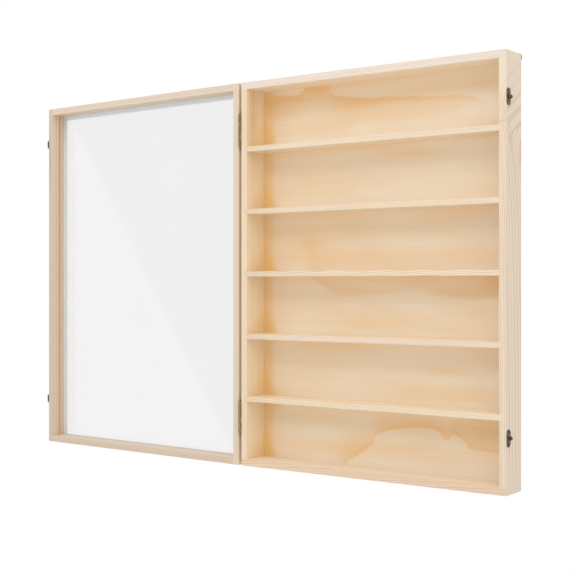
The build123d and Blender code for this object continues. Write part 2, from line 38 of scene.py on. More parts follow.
Colour = tuple[float, float, float]
Point = tuple[float, float, float]
Scalar = Union[float, "Value"]
Socket = bpy.types.NodeSocket

# The colour of the painted shade in the corner between the left side and the back, warm like light bounced
# between pine boards.
PAINTED_SHADE_COLOUR: Colour = (0.87, 0.57, 0.22)
WHITE: Colour = (1.0, 1.0, 1.0)
WOOD_IOR = 1.45

# How much of a face's normal runs along an axis where the face starts to count as turned that way
# and where it fully does. The front is at the lower end of Y.
TURNED = (0.6, 0.8)
TO_FRONT = (0.0, -0.5)

log = logging.getLogger("cabinet")


class Value:
    """A number that varies over a surface; Python's operators add Math nodes to it."""

    def __init__(self, recipe: "Recipe", socket: Socket) -> None:
        """Wraps an output socket.

        Args:
            recipe: the node tree that the socket belongs to.
            socket: the output that carries the number.
        """
        self.recipe = recipe
        self.socket = socket

    def __add__(self, other: Scalar) -> "Value":
        """self + other"""
        return self.recipe.maths("ADD", self, other)

    __radd__ = __add__

    def __sub__(self, other: Scalar) -> "Value":
        """self - other"""
        return self.recipe.maths("SUBTRACT", self, other)

    def __rsub__(self, other: Scalar) -> "Value":
        """other - self"""
        return self.recipe.maths("SUBTRACT", other, self)

    def __mul__(self, other: Scalar) -> "Value":
        """self * other"""
        return self.recipe.maths("MULTIPLY", self, other)

    __rmul__ = __mul__

    def __truediv__(self, other: Scalar) -> "Value":
        """self / other"""
        return self.recipe.maths("DIVIDE", self, other)

    def __pow__(self, other: Scalar) -> "Value":
        """self ** other"""
        return self.recipe.maths("POWER", self, other)

    def fraction(self) -> "Value":
        """The part after the decimal point."""
        return self.recipe.maths("FRACT", self)

    def whole(self) -> "Value":
        """The part before the decimal point."""
        return self.recipe.maths("FLOOR", self)

    def exponential(self) -> "Value":
        """e to the power of this number."""
        return self.recipe.maths("EXPONENT", self)

    def fade(self) -> "Value":
        """One at nought, falling away on both sides like a bell."""
        return (self * self * -1.0).exponential()

    def size(self) -> "Value":
        """The number without its sign."""
        return self.recipe.maths("ABSOLUTE", self)

    def rise(self, low: float, high: float) -> "Value":
        """A smooth climb from 0 at low to 1 at high, or a fall where low is the larger.

        Args:
            low: where the result is 0.
            high: where the result is 1.

        Returns:
            The climb, held between 0 and 1.
        """
        inputs = {"Value": self, "From Min": low, "From Max": high}
        climb = self.recipe.node("ShaderNodeMapRange", {"interpolation_type": "SMOOTHSTEP"}, inputs)
        return Value(self.recipe, climb.outputs["Result"])


class Recipe:
    """The nodes of one material or world, and short ways to add to them."""

    def __init__(self, tree: bpy.types.NodeTree) -> None:
        """Starts with an empty tree.

        Args:
            tree: the node tree to fill.
        """
        self.tree = tree
        tree.nodes.clear()

    def node(
        self,
        kind: str,
        settings: Optional[dict[str, Any]] = None,
        inputs: Optional[dict[Union[str, int], Any]] = None,
    ) -> bpy.types.Node:
        """Adds a node, sets it up and feeds its sockets.

        Args:
            kind: the node's type.
            settings: its properties, or "stops" for a ramp's positions and grey levels.
            inputs: a value, a Value or an output socket for each input by name or number.

        Returns:
            The new node.
        """
        made = self.tree.nodes.new(kind)
        for name, choice in (settings or {}).items():
            if name == "stops":
                self._set_stops(made.color_ramp, choice)
            else:
                setattr(made, name, choice)
        for name, value in (inputs or {}).items():
            self._feed(made.inputs[name], value)
        return made

    def _set_stops(self, ramp: bpy.types.ColorRamp, stops: list[tuple[float, float]]) -> None:
        """Gives a ramp its stops.

        Args:
            ramp: the ramp.
            stops: a position and a grey level for each stop, in order.
        """
        while len(ramp.elements) < len(stops):
            ramp.elements.new(1.0)
        for element, (position, level) in zip(ramp.elements, stops):
            element.position = position
            element.color = (level, level, level, 1.0)

    def _feed(self, socket: Socket, value: Any) -> None:
        """Links a value that varies to a socket, or sets a constant on it.

        Args:
            socket: the input.
            value: a Value, an output socket or a constant.
        """
        if isinstance(value, Value):
            self.tree.links.new(value.socket, socket)
        elif isinstance(value, Socket):
            self.tree.links.new(value, socket)
        else:
            socket.default_value = value

    def maths(self, operation: str, *operands: Scalar) -> Value:
        """Adds a Math node.

        Args:
            operation: what the node works out.
            operands: its numbers, in order.

        Returns:
            The result.
        """
        made = self.node("ShaderNodeMath", {"operation": operation}, dict(enumerate(operands)))
        return Value(self, made.outputs[0])

    def vector(self, operation: str, first: Any, second: Any) -> Socket:
        """Adds a Vector Math node that gives a vector or a colour."""
        made = self.node("ShaderNodeVectorMath", {"operation": operation}, {0: first, 1: second})
        return made.outputs[0]

    def dot(self, first: Any, second: Any) -> Value:
        """The dot product of two vectors."""
        made = self.node("ShaderNodeVectorMath", {"operation": "DOT_PRODUCT"}, {0: first, 1: second})
        return Value(self, made.outputs["Value"])

    def coordinate(self, kind: str) -> Socket:
        """One of the coordinates of the shaded point, by its name in Blender."""
        return self.node("ShaderNodeTexCoord").outputs[kind]

    def parts(self, vector: Socket) -> tuple[Value, ...]:
        """A vector's three numbers."""
        split = self.node("ShaderNodeSeparateXYZ", None, {0: vector})
        return tuple(Value(self, socket) for socket in split.outputs)

    def chance(self, number: Value, seed: float) -> Value:
        """A random level between 0 and 1 for each whole number."""
        made = self.node("ShaderNodeTexWhiteNoise", {"noise_dimensions": "1D"}, {"W": number + seed})
        return Value(self, made.outputs["Value"])

    def noise(self, place: Socket, scale: Point, seed: float, detail: float) -> Value:
        """Cloudy noise between about -0.5 and 0.5.

        Args:
            place: the point that the noise is read at.
            scale: how many features there are in a metre along each axis.
            seed: moves the noise to another part of its field.
            detail: how many finer layers it has.

        Returns:
            The noise.
        """
        stretch = {0: place, 1: scale, 2: (seed, seed, seed)}
        stretched = self.node("ShaderNodeVectorMath", {"operation": "MULTIPLY_ADD"}, stretch)
        inputs = {"Vector": stretched.outputs[0], "Scale": 1.0, "Detail": detail}
        return Value(self, self.node("ShaderNodeTexNoise", None, inputs).outputs[0]) - 0.5

    def blend(self, first: Any, second: Any, share: Scalar) -> Socket:
        """Mixes two colours.

        Args:
            first: the colour at a share of 0.
            second: the colour at a share of 1.
            share: how much of the second there is.

        Returns:
            The mixed colour.
        """
        first, second = (paint(c) if isinstance(c, tuple) else c for c in (first, second))
        made = self.node("ShaderNodeMix", {"data_type": "RGBA"}, {0: share, 6: first, 7: second})
        return made.outputs[2]

    def lightened(self, colour: Socket, gain: Value) -> Socket:
        """A colour with its three parts multiplied by a number.

        Args:
            colour: the colour.
            gain: the number, about 1.

        Returns:
            The changed colour.
        """
        grey = self.node("ShaderNodeCombineXYZ", None, {0: gain, 1: gain, 2: gain})
        return self.vector("MULTIPLY", colour, grey.outputs[0])

    def relief(self, height: Value, distance: float, strength: float) -> Socket:
        """A surface normal that follows a height.

        Args:
            height: the height, between about 0 and 1.
            distance: how deep 1 is, in metres.
            strength: how much of it shows.

        Returns:
            The normal.
        """
        inputs = {"Height": height, "Distance": distance, "Strength": strength}
        return self.node("ShaderNodeBump", None, inputs).outputs[0]

    def principled(self, inputs: dict[Union[str, int], Any]) -> Socket:
        """Adds a Principled shader."""
        return self.node("ShaderNodeBsdfPrincipled", None, inputs).outputs[0]

    def mixed(self, first: Socket, second: Socket, share: Scalar) -> Socket:
        """Adds a shader that goes from the first at a share of 0 to the second at 1."""
        return self.node("ShaderNodeMixShader", None, {0: share, 1: first, 2: second}).outputs[0]

    def surface(self, shader: Socket) -> None:
        """Makes a shader the material's surface."""
        self.node("ShaderNodeOutputMaterial", None, {"Surface": shader})


def paint(colour: Colour) -> tuple[float, float, float, float]:
    """A colour with full opacity."""
    return (*colour, 1.0)


def from_screen(red: int, green: int, blue: int) -> Colour:
    """The light that a screen colour stands for.

    Args:
        red: red from 0 to 255.
        green: green from 0 to 255.
        blue: blue from 0 to 255.

    Returns:
        The linear colour.
    """
    def linear(level: int) -> float:
        """One channel, by the screen's standard curve."""
        part = level / 255
        return part / 12.92 if part <= 0.04045 else ((part + 0.055) / 1.055) ** 2.4

    return linear(red), linear(green), linear(blue)


def new_material(name: str) -> tuple[bpy.types.Material, Recipe]:
    """Makes an empty material.

    Args:
        name: the material's name.

    Returns:
        The material and the recipe for its nodes.
    """
    material = bpy.data.materials.new(name)
    material.use_nodes = True
    return material, Recipe(material.node_tree)


def resting_place(recipe: Recipe, on_door: bool) -> Socket:
    """The point of a surface in the closed cabinet, in metres.

    Args:
        recipe: the material's nodes.
        on_door: whether the surface belongs to the door, which rests open.

    Returns:
        The point.
    """
    place = recipe.coordinate("Object")
    if not on_door:
        return place
    joint = next(joint for joint in frame["joints"] if joint["name"] == "door_hinge")
    inputs = {"Vector": place, "Center": joint["pos_m"], "Angle": math.radians(joint["range_deg"][1])}
    return recipe.node("ShaderNodeVectorRotate", {"rotation_type": "Z_AXIS"}, inputs).outputs[0]


class Lie(Enum):
    """Which way a board's fibres run in the closed cabinet."""

    LEVEL = "level"
    UPRIGHT = "upright"


@dataclass(frozen=True)
class Cloud:
    """Noise of one scale, for a board whose fibres run from left to right.

    Attributes:
        scale: how many features there are in a metre along each axis.
        offset: the part of the noise that it is read from.
        detail: how many finer layers it has.
        light: how much it changes the brightness of a finish.
        matt: how much it changes the roughness.
        height: how much it stands out from the surface.
    """

    scale: Point
    offset: float = 0.0
    detail: float = 2.0
    light: float = 0.0
    matt: float = 0.0
    height: float = 0.0

    def read(self, recipe: Recipe, place: Socket, seed: float = 0.0, lie: Lie = Lie.LEVEL) -> Value:
        """The noise at each point.

        Args:
            recipe: the material's nodes.
            place: the point that it is read at.
            seed: a further offset, for the piece.
            lie: which way the fibres run.

        Returns:
            The noise, between about -0.5 and 0.5.
        """
        scale = self.scale if lie is Lie.LEVEL else self.scale[::-1]
        return recipe.noise(place, scale, self.offset + seed, self.detail)


@dataclass(frozen=True)
class StainAndShade:
    """A soft darker patch, used both for marks in the wood, as beside a knot or where resin has gathered,
    and for painted shade.

    Attributes:
        centre: its middle in the closed cabinet, in metres.
        reach: how far it spreads along each axis, in metres.
        strength: how much late wood it adds in the middle.
    """

    centre: Point
    reach: Point
    strength: float

    def share(self, recipe: Recipe, place: Socket) -> Value:
        """How much late wood the patch adds.

        Args:
            recipe: the material's nodes.
            place: the point in the closed cabinet.

        Returns:
            The share, which falls away like a bell.
        """
        away = recipe.vector("SUBTRACT", place, self.centre)
        scaled = recipe.vector("DIVIDE", away, self.reach)
        return (recipe.dot(scaled, scaled) * -1.0).exponential() * self.strength


@dataclass(frozen=True)
class Swerve:
    """Grain that turns aside where it passes a knot on a board's rear edge.

    Attributes:
        height: where the grain is pushed furthest to the front, in metres.
        above: how far it goes back for each metre above that height.
        below: how far back it settles below that height, in metres.
        settle: the drop over which it settles, in metres.
        drift, long_drop: how much further it goes back, and over what drop, in metres.
        bend: how round the turn is, in metres.
        spread: how many of the rings are left in a given depth above that height.
        spread_height, middle: the height over which they spread, and the depth they spread from.
        bold, bold_width: the unbent depths of the broad dark rings and half their width, in metres.
        bold_reach: how far their darkest part goes up and down from the turn, in metres.
        bold_strength, bold_rest: how much darker they are there, and how dark elsewhere.
        clear_below, faint_above: the heights above the turn where the rings cease to be clear and
            where they are faint, in metres.
        faint_share: how clearly they show there.
    """

    height: float
    above: float = 1.9
    below: float = 0.032
    settle: float = 0.045
    drift: float = 0.022
    long_drop: float = 0.3
    bend: float = 0.006
    spread: float = 0.25
    spread_height: float = 0.016
    middle: float = -0.024
    bold: tuple[float, ...] = (-0.0199, -0.0636)
    bold_width: float = 0.0022
    bold_reach: float = 0.045
    bold_strength: float = 0.45
    bold_rest: float = 0.08
    clear_below: float = 0.045
    faint_above: float = 0.07
    faint_share: float = 0.3

    def _unbent(self, depth: Value, height: Value) -> Value:
        """The depth less the turn of the grain.

        Args:
            depth: the depth on the board, in metres.
            height: the height, in metres.

        Returns:
            The depth that is left, in metres.
        """
        gap = height - self.height
        root = (gap * gap + self.bend ** 2) ** 0.5
        up = (root + gap) * 0.5
        down = (root - gap) * 0.5
        settled = 1.0 - (down * (-1.0 / self.settle)).exponential()
        drifted = 1.0 - (down * (-1.0 / self.long_drop)).exponential()
        shift = up * self.above + settled * self.below + drifted * self.drift
        return depth - shift - self.middle

    def straighten(self, depth: Value, height: Value) -> Value:
        """The depth at which the same ring would lie in straight grain.

        Args:
            depth: the depth on the board, in metres.
            height: the height, in metres.

        Returns:
            The depth in straight grain, in metres.
        """
        below = height.rise(self.height + self.spread_height, self.height)
        density = below * (1.0 - self.spread) + self.spread
        return self._unbent(depth, height) * density

    def bold_share(self, depth: Value, height: Value) -> Value:
        """How much of the late wood's colour the broad dark rings have.

        Args:
            depth: the depth on the board, in metres.
            height: the height, in metres.

        Returns:
            The share, strongest where the rings turn.
        """
        unbent = self._unbent(depth, height)
        share = sum(((unbent - ring) / self.bold_width).fade() for ring in self.bold)
        near_turn = ((height - self.height) / self.bold_reach).fade()
        return share * (near_turn * self.bold_strength + self.bold_rest)

    def clearness(self, height: Value) -> Value:
        """How clearly the rings show at each height: little in the plain wood above the knot."""
        clear = height.rise(self.height + self.faint_above, self.height + self.clear_below)
        return clear * (1.0 - self.faint_share) + self.faint_share


def above_shelf(height: Value) -> Value:
    """How high each point lies above the top of the board below it.

    Args:
        height: the height in the cabinet, in metres.

    Returns:
        The height in the tier, in metres.
    """
    shelf_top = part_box("shelf_1")[1].z
    pitch = shelf_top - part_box("shelf_2")[1].z
    return ((height - shelf_top) / pitch).fraction() * pitch


@dataclass(frozen=True)
class PaintedCornerShade:
    """Varnish that has gathered in the corner between the left side and the back.

    Attributes:
        reach: how far it spreads from the corner at the bottom of a tier, in metres.
        height: how far it climbs up the corner, in metres.
        column, column_share: the width of the fainter painted shade over the tier's whole height, in
            metres, and how dark it is.
        strength: how dark the whole is.
        starts, full: where the varnish starts and is at its darkest, as shares of its reach.
        hidden: how deep in the side board it is cut off and still whole, in metres.
    """

    reach: float
    height: float
    column: float
    column_share: float
    strength: float
    starts: float = 1.35
    full: float = 0.5
    hidden: tuple[float, float] = (3 * MM, 2 * MM)

    def share(self, recipe: Recipe, place: Socket) -> Value:
        """How much of the painted shade's colour there is.

        Args:
            recipe: the material's nodes.
            place: the point in the closed cabinet.

        Returns:
            The share.
        """
        x, y, z = recipe.parts(place)
        corner_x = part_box("case_left_side")[1].x
        corner_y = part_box("back_panel")[0].y
        away = (x - corner_x).size() + (y - corner_y).size()
        # Painted shade: strongest in the corner and towards each tier's floor, with a fainter band up the
        # tier's whole height.
        shade_near_corner = (away / self.reach + above_shelf(z) / self.height).rise(self.starts, self.full)
        column = away.rise(self.starts * self.column, self.full * self.column) * self.column_share
        inside = x.rise(*(corner_x - depth for depth in self.hidden))
        return recipe.maths("MAXIMUM", shade_near_corner, column) * inside * self.strength


@dataclass(frozen=True)
class PineFinish:
    """Sanded pale pine under a thin matt varnish.

    Attributes:
        name: the material's name.
        lie: which way the fibres run.
        seed: the part of the tree that the board comes from.
        tone: the colour of the early wood on the board's wide faces.
        edge: the same on its narrow front and rear edges.
        late: how the late wood's colour differs, as a factor.
        ring: the distance between rings, in metres.
        slant: the rings' turn from the depth towards the thickness, in degrees.
        phase: where the first ring falls, in rings.
        crossed: how many rings the board crosses in a metre of its length.
        wander: how far the rings stray, in rings.
        depth: how strongly the rings show.
        swerve: the knot that the grain passes.
        stains_and_shade: the darker patches, both marks in the wood and painted shade.
        painted_shade: the painted shade in the corner.
        on_door: whether the board is part of the door.
        straying: how the rings stray.
        patches, fibres, pores: the soft areas, the fibres and the short fine flecks.
        faintest, variety: the strength of the faintest ring, and how much more the strongest has.
        end_shade: how much darker the end grain is.
        roughness, ring_gloss: how matt the varnish is, and how much glossier on late wood.
        relief, relief_shown: the depth of the relief, in metres, and how much of it shows.
        ring_sink: how far the late wood lies below the rest, as a share of the relief.
    """

    name: str
    lie: Lie
    seed: float
    tone: Colour
    edge: Colour
    late: Colour = (0.78, 0.67, 0.54)
    ring: float = 2.5 * MM
    slant: float = 75.0
    phase: float = 0.0
    crossed: float = 0.0
    wander: float = 1.0
    depth: float = 0.45
    swerve: Optional[Swerve] = None
    stains_and_shade: tuple[StainAndShade, ...] = ()
    painted_shade: Optional[PaintedCornerShade] = None
    on_door: bool = False
    straying: Cloud = Cloud((2.2, 14.0, 14.0))
    patches: Cloud = Cloud((4.0, 30.0, 30.0), 3.1, light=0.06)
    fibres: Cloud = Cloud((14.0, 700.0, 700.0), 7.7, detail=3.0, light=0.06, matt=0.12, height=0.6)
    pores: Cloud = Cloud((90.0, 2600.0, 2600.0), 1.3, detail=1.0, light=0.03, height=0.5)
    faintest: float = 0.4
    variety: float = 0.75
    end_shade: float = 0.1
    roughness: float = 0.5
    ring_gloss: float = 0.05
    ring_sink: float = 0.25
    relief: float = 0.12 * MM
    relief_shown: float = 0.35

    def _rings(self, recipe: Recipe, place: Socket) -> Value:
        """The count of rings up to each point of the board.

        Args:
            recipe: the material's nodes.
            place: the point in the closed cabinet.

        Returns:
            The count, whose fraction is the place within a ring.
        """
        x, depth, z = recipe.parts(place)
        length, thickness = (x, z) if self.lie is Lie.LEVEL else (z, x)
        if self.swerve:
            depth = self.swerve.straighten(depth, length)
        turn = math.radians(self.slant)
        count = depth * (math.cos(turn) / self.ring) + thickness * (math.sin(turn) / self.ring) + self.phase
        if self.crossed:
            count = count + length * self.crossed
        return count + self.straying.read(recipe, place, self.seed, self.lie) * (2 * self.wander)

    def _late_share(self, recipe: Recipe, place: Socket, on_edge: Value) -> Value:
        """How much of the late wood's colour there is at each point.

        Args:
            recipe: the material's nodes.
            place: the point in the closed cabinet.
            on_edge: one on the board's front and rear edges, where the rings show most.

        Returns:
            The late wood's share.
        """
        rings = self._rings(recipe, place)
        strength = recipe.chance(rings.whole(), self.seed) * self.variety + self.faintest
        share = late_wood(rings) * strength * (on_edge + 1.0) * self.depth
        if self.swerve:
            _, depth, height = recipe.parts(place)
            share = share * self.swerve.clearness(height) + self.swerve.bold_share(depth, height)
        for dark_patch in self.stains_and_shade:
            share = share + dark_patch.share(recipe, place)
        return share

    def build(self) -> bpy.types.Material:
        """Makes the material.

        Returns:
            The pine.
        """
        material, recipe = new_material(self.name)
        place = resting_place(recipe, self.on_door)
        faces = recipe.parts(recipe.coordinate("Normal"))
        on_edge = faces[1].size().rise(*TURNED)
        on_end = faces[0 if self.lie is Lie.LEVEL else 2].size().rise(*TURNED)
        share = self._late_share(recipe, place, on_edge)
        clouds = (self.patches, self.fibres, self.pores)
        patches, fibres, pores = (cloud.read(recipe, place, self.seed, self.lie) for cloud in clouds)
        early = recipe.blend(self.tone, self.edge, on_edge)
        colour = recipe.blend(early, recipe.vector("MULTIPLY", early, self.late), share)
        # Painted shade in the corner between the left side and the back.
        if self.painted_shade:
            colour = recipe.blend(colour, PAINTED_SHADE_COLOUR, self.painted_shade.share(recipe, place))
        gain = 1.0 + fibres * (on_edge + 1.0) * self.fibres.light + pores * self.pores.light
        gain = gain + patches * self.patches.light - on_end * self.end_shade
        roughness = self.roughness + fibres * self.fibres.matt - share * self.ring_gloss
        height = fibres * self.fibres.height + pores * self.pores.height - share * self.ring_sink + 0.5
        inputs = {
            "Base Color": recipe.lightened(colour, gain),
            "Roughness": roughness,
            "Normal": recipe.relief(height, self.relief, self.relief_shown),
            "IOR": WOOD_IOR,
        }
        recipe.surface(recipe.principled(inputs))
        return material


def late_wood(rings: Value, starts: float = 0.3, full: float = 0.85, ends: float = 0.88) -> Value:
    """The dark line of each ring: a slow build-up and a crisper end.

    Args:
        rings: the count of rings.
        starts: the part of a ring where the line starts.
        full: where it is at its darkest.
        ends: where it begins to fall away, until the ring's end.

    Returns:
        The line's darkness, between 0 and 1.
    """
    part = rings.fraction()
    return part.rise(starts, full) * part.rise(1.0, ends)


@dataclass(frozen=True)
class Contour:
    """An edge of late wood across a peeled veneer, crisp on one side and fading on the other.

    Attributes:
        points: the edge from left to right, as X and Z in millimetres.
        amber_above: whether the amber side is the upper one.
        fade: how far the amber reaches, in metres.
        crispness: the width of the edge, in metres.
        strength: how strong the amber is at the edge.
        ends: the X where the edge starts and stops, in millimetres.
        blur: how far the amber fades out past those ends and inside them, in millimetres.
        near_share, near_reach: how much of it stays close to the edge, and in what share of the fade.
    """

    points: tuple[tuple[float, float], ...]
    amber_above: bool
    fade: float
    crispness: float
    strength: float
    ends: tuple[float, float]
    blur: tuple[float, float] = (18.0, 6.0)
    near_share: float = 0.45
    near_reach: float = 0.3

    def share(self, recipe: Recipe, x: Value, z: Value, ragged: Value) -> Value:
        """How much amber there is at each point.

        Args:
            recipe: the material's nodes.
            x: the place across the panel, in metres.
            z: the height, in metres.
            ragged: a small unevenness of the edge, in metres.

        Returns:
            The amber's share.
        """
        first, last = self.points[0][0], self.points[-1][0]
        bottom = min(height for _, height in self.points)
        top = max(height for _, height in self.points)
        stops = [((px - first) / (last - first), (pz - bottom) / (top - bottom)) for px, pz in self.points]
        across = (x / MM - first) / (last - first)
        ramp = recipe.node("ShaderNodeValToRGB", {"stops": stops}, {0: across})
        level = recipe.node("ShaderNodeSeparateColor", None, {0: ramp.outputs[0]})
        edge = Value(recipe, level.outputs[0]) * ((top - bottom) * MM) + bottom * MM
        past = z - edge + ragged if self.amber_above else edge - z + ragged
        outside, inside = self.blur
        begin = (x / MM).rise(self.ends[0] - outside, self.ends[0] + inside)
        finish = (x / MM).rise(self.ends[1] + outside, self.ends[1] - inside)
        far = past.rise(self.fade, 0.0) * (1.0 - self.near_share)
        near = past.rise(self.near_reach * self.fade, 0.0) * self.near_share
        return past.rise(0.0, self.crispness) * (far + near) * begin * finish * self.strength


@dataclass(frozen=True)
class VeneerFinish:
    """The peeled face veneer of the plywood back, golden with amber flames.

    Attributes:
        name: the material's name.
        tone: the colour of its pale wood.
        amber: the colour of its late wood.
        contours: the edges of late wood that stand out.
        stains_and_shade: the darker patches.
        painted_shade: the painted shade in the corner.
        ragged, ragged_by: the contours' unevenness, and how far it moves them, in metres.
        feathers, feathered_by: the same for their fine raggedness along the fibres.
        streaks, clouds: the level streaks of late wood and its broad soft areas.
        late_share, late_contrast: how much late wood there is, and how much it varies.
        fibres: the fibres.
        checks, checked: the short cracks from peeling, and the noise levels where one starts and is full.
        painted_floor_reach, painted_floor_light: how far above a shelf painted light makes the wood paler,
            in metres, and by how much.
        painted_ceiling_span, painted_ceiling_light: from where and up to where in a tier painted light
        makes the wood lighter, in metres, and by how much.
        roughness: how matt the varnish is.
        relief, relief_shown: the depth of the relief, in metres, and how much of it shows.
    """

    name: str
    tone: Colour = (0.90, 0.775, 0.60)
    amber: Colour = (0.87, 0.57, 0.28)
    contours: tuple[Contour, ...] = ()
    stains_and_shade: tuple[StainAndShade, ...] = ()
    painted_shade: Optional[PaintedCornerShade] = None
    ragged: Cloud = Cloud((40.0, 40.0, 150.0), 4.2, detail=3.0)
    ragged_by: float = 5 * MM
    feathers: Cloud = Cloud((25.0, 25.0, 330.0), 8.8)
    feathered_by: float = 20 * MM
    streaks: Cloud = Cloud((3.0, 3.0, 60.0), 9.4, detail=3.0)
    clouds: Cloud = Cloud((5.0, 5.0, 16.0), 2.6)
    late_contrast: float = 0.8
    late_share: float = 0.29
    fibres: Cloud = Cloud((22.0, 400.0, 900.0), 6.1, detail=3.0, light=0.08, matt=0.1, height=0.7)
    checks: Cloud = Cloud((45.0, 45.0, 420.0), 12.9, detail=1.0, light=-0.05, height=-0.3)
    checked: tuple[float, float] = (0.18, 0.3)
    painted_floor_reach: float = 30 * MM
    painted_floor_light: float = 0.3
    painted_ceiling_span: tuple[float, float] = (60 * MM, 87.7 * MM)
    painted_ceiling_light: float = 0.06
    roughness: float = 0.55
    relief: float = 0.1 * MM
    relief_shown: float = 0.3

    def _amber_share(self, recipe: Recipe, place: Socket, inside: Value) -> Value:
        """How much of the late wood's colour there is at each point.

        Args:
            recipe: the material's nodes.
            place: the point in the closed cabinet.
            inside: one on the face that the tiers show.

        Returns:
            The late wood's share.
        """
        x, _, z = recipe.parts(place)
        ragged = self.ragged.read(recipe, place) * self.ragged_by
        feathered = x + self.feathers.read(recipe, place) * self.feathered_by
        streaks = self.streaks.read(recipe, place) * self.late_contrast
        clouds = self.clouds.read(recipe, place) * self.late_contrast
        # Painted light: the back is paler just above each shelf.
        floor_painted_light = above_shelf(z).rise(self.painted_floor_reach, 0.0) * inside * self.painted_floor_light
        share = streaks + clouds + self.late_share - floor_painted_light
        for contour in self.contours:
            share = share + contour.share(recipe, feathered, z, ragged)
        for dark_patch in self.stains_and_shade:
            share = share + dark_patch.share(recipe, place)
        return share

    def build(self) -> bpy.types.Material:
        """Makes the material.

        Returns:
            The veneer.
        """
        material, recipe = new_material(self.name)
        place = resting_place(recipe, False)
        inside = recipe.parts(recipe.coordinate("Normal"))[1].rise(*TO_FRONT)
        colour = recipe.blend(self.tone, self.amber, self._amber_share(recipe, place, inside))
        # Painted shade in the corner between the left side and the back.
        if self.painted_shade:
            colour = recipe.blend(colour, PAINTED_SHADE_COLOUR, self.painted_shade.share(recipe, place) * inside)
        fibres = self.fibres.read(recipe, place)
        checks = self.checks.read(recipe, place).rise(*self.checked)
        height = recipe.parts(place)[2]
        # Painted light: the back is lighter near the top of each tier.
        ceiling = above_shelf(height).rise(*self.painted_ceiling_span) * inside * self.painted_ceiling_light
        gain = 1.0 + fibres * self.fibres.light + checks * self.checks.light + ceiling
        marks = fibres * self.fibres.height + checks * self.checks.height + 0.5
        inputs = {
            "Base Color": recipe.lightened(colour, gain),
            "Roughness": self.roughness + fibres * self.fibres.matt,
            "Normal": recipe.relief(marks, self.relief, self.relief_shown),
            "IOR": WOOD_IOR,
        }
        recipe.surface(recipe.principled(inputs))
        return material


@dataclass(frozen=True)
class MetalFinish:
    """Plated metal, darkened and rubbed bright in patches.

    Attributes:
        name: the material's name.
        dark: the colour of the toned surface.
        bright: the colour where it is rubbed.
        rubbed: how much of the surface is rubbed, from 0 to 1.
        roughness: how matt it is.
        seed: the place in the noise.
        patches, grain: where it is rubbed, and its fine grain.
        strokes, stroke_share: fine upright strokes, and how much they break up the rubbed patches.
        softness: how softly a rubbed patch begins.
        gloss, dulling: how much glossier and how much less metallic the rubbed metal is.
        relief, relief_shown: the depth of the relief, in metres, and how much of it shows.
    """

    name: str
    dark: Colour
    bright: Colour
    rubbed: float
    roughness: float
    seed: float = 0.0
    patches: Cloud = Cloud((320.0, 320.0, 320.0), detail=4.0)
    grain: Cloud = Cloud((2400.0, 2400.0, 2400.0), 2.0, light=0.3, matt=0.2, height=0.6)
    strokes: Cloud = Cloud((3000.0, 3000.0, 160.0), 5.0, detail=1.0, height=0.5)
    stroke_share: float = 0.25
    softness: float = 0.2
    gloss: float = 0.08
    dulling: float = 0.05
    relief: float = 0.04 * MM
    relief_shown: float = 0.4

    def build(self) -> bpy.types.Material:
        """Makes the material.

        Returns:
            The metal.
        """
        material, recipe = new_material(self.name)
        place = recipe.coordinate("Object")
        clouds = (self.patches, self.grain, self.strokes)
        patches, grain, strokes = (cloud.read(recipe, place, self.seed) for cloud in clouds)
        start = (0.5 - self.rubbed) / 2
        share = (patches + strokes * self.stroke_share).rise(start, start + self.softness)
        colour = recipe.blend(self.dark, self.bright, share)
        height = grain * self.grain.height + strokes * self.strokes.height + 0.5
        inputs = {
            "Base Color": recipe.lightened(colour, 1.0 + grain * self.grain.light),
            "Metallic": 1.0 - share * self.dulling,
            "Roughness": self.roughness + grain * self.grain.matt - share * self.gloss,
            "Normal": recipe.relief(height, self.relief, self.relief_shown),
        }
        recipe.surface(recipe.principled(inputs))
        return material


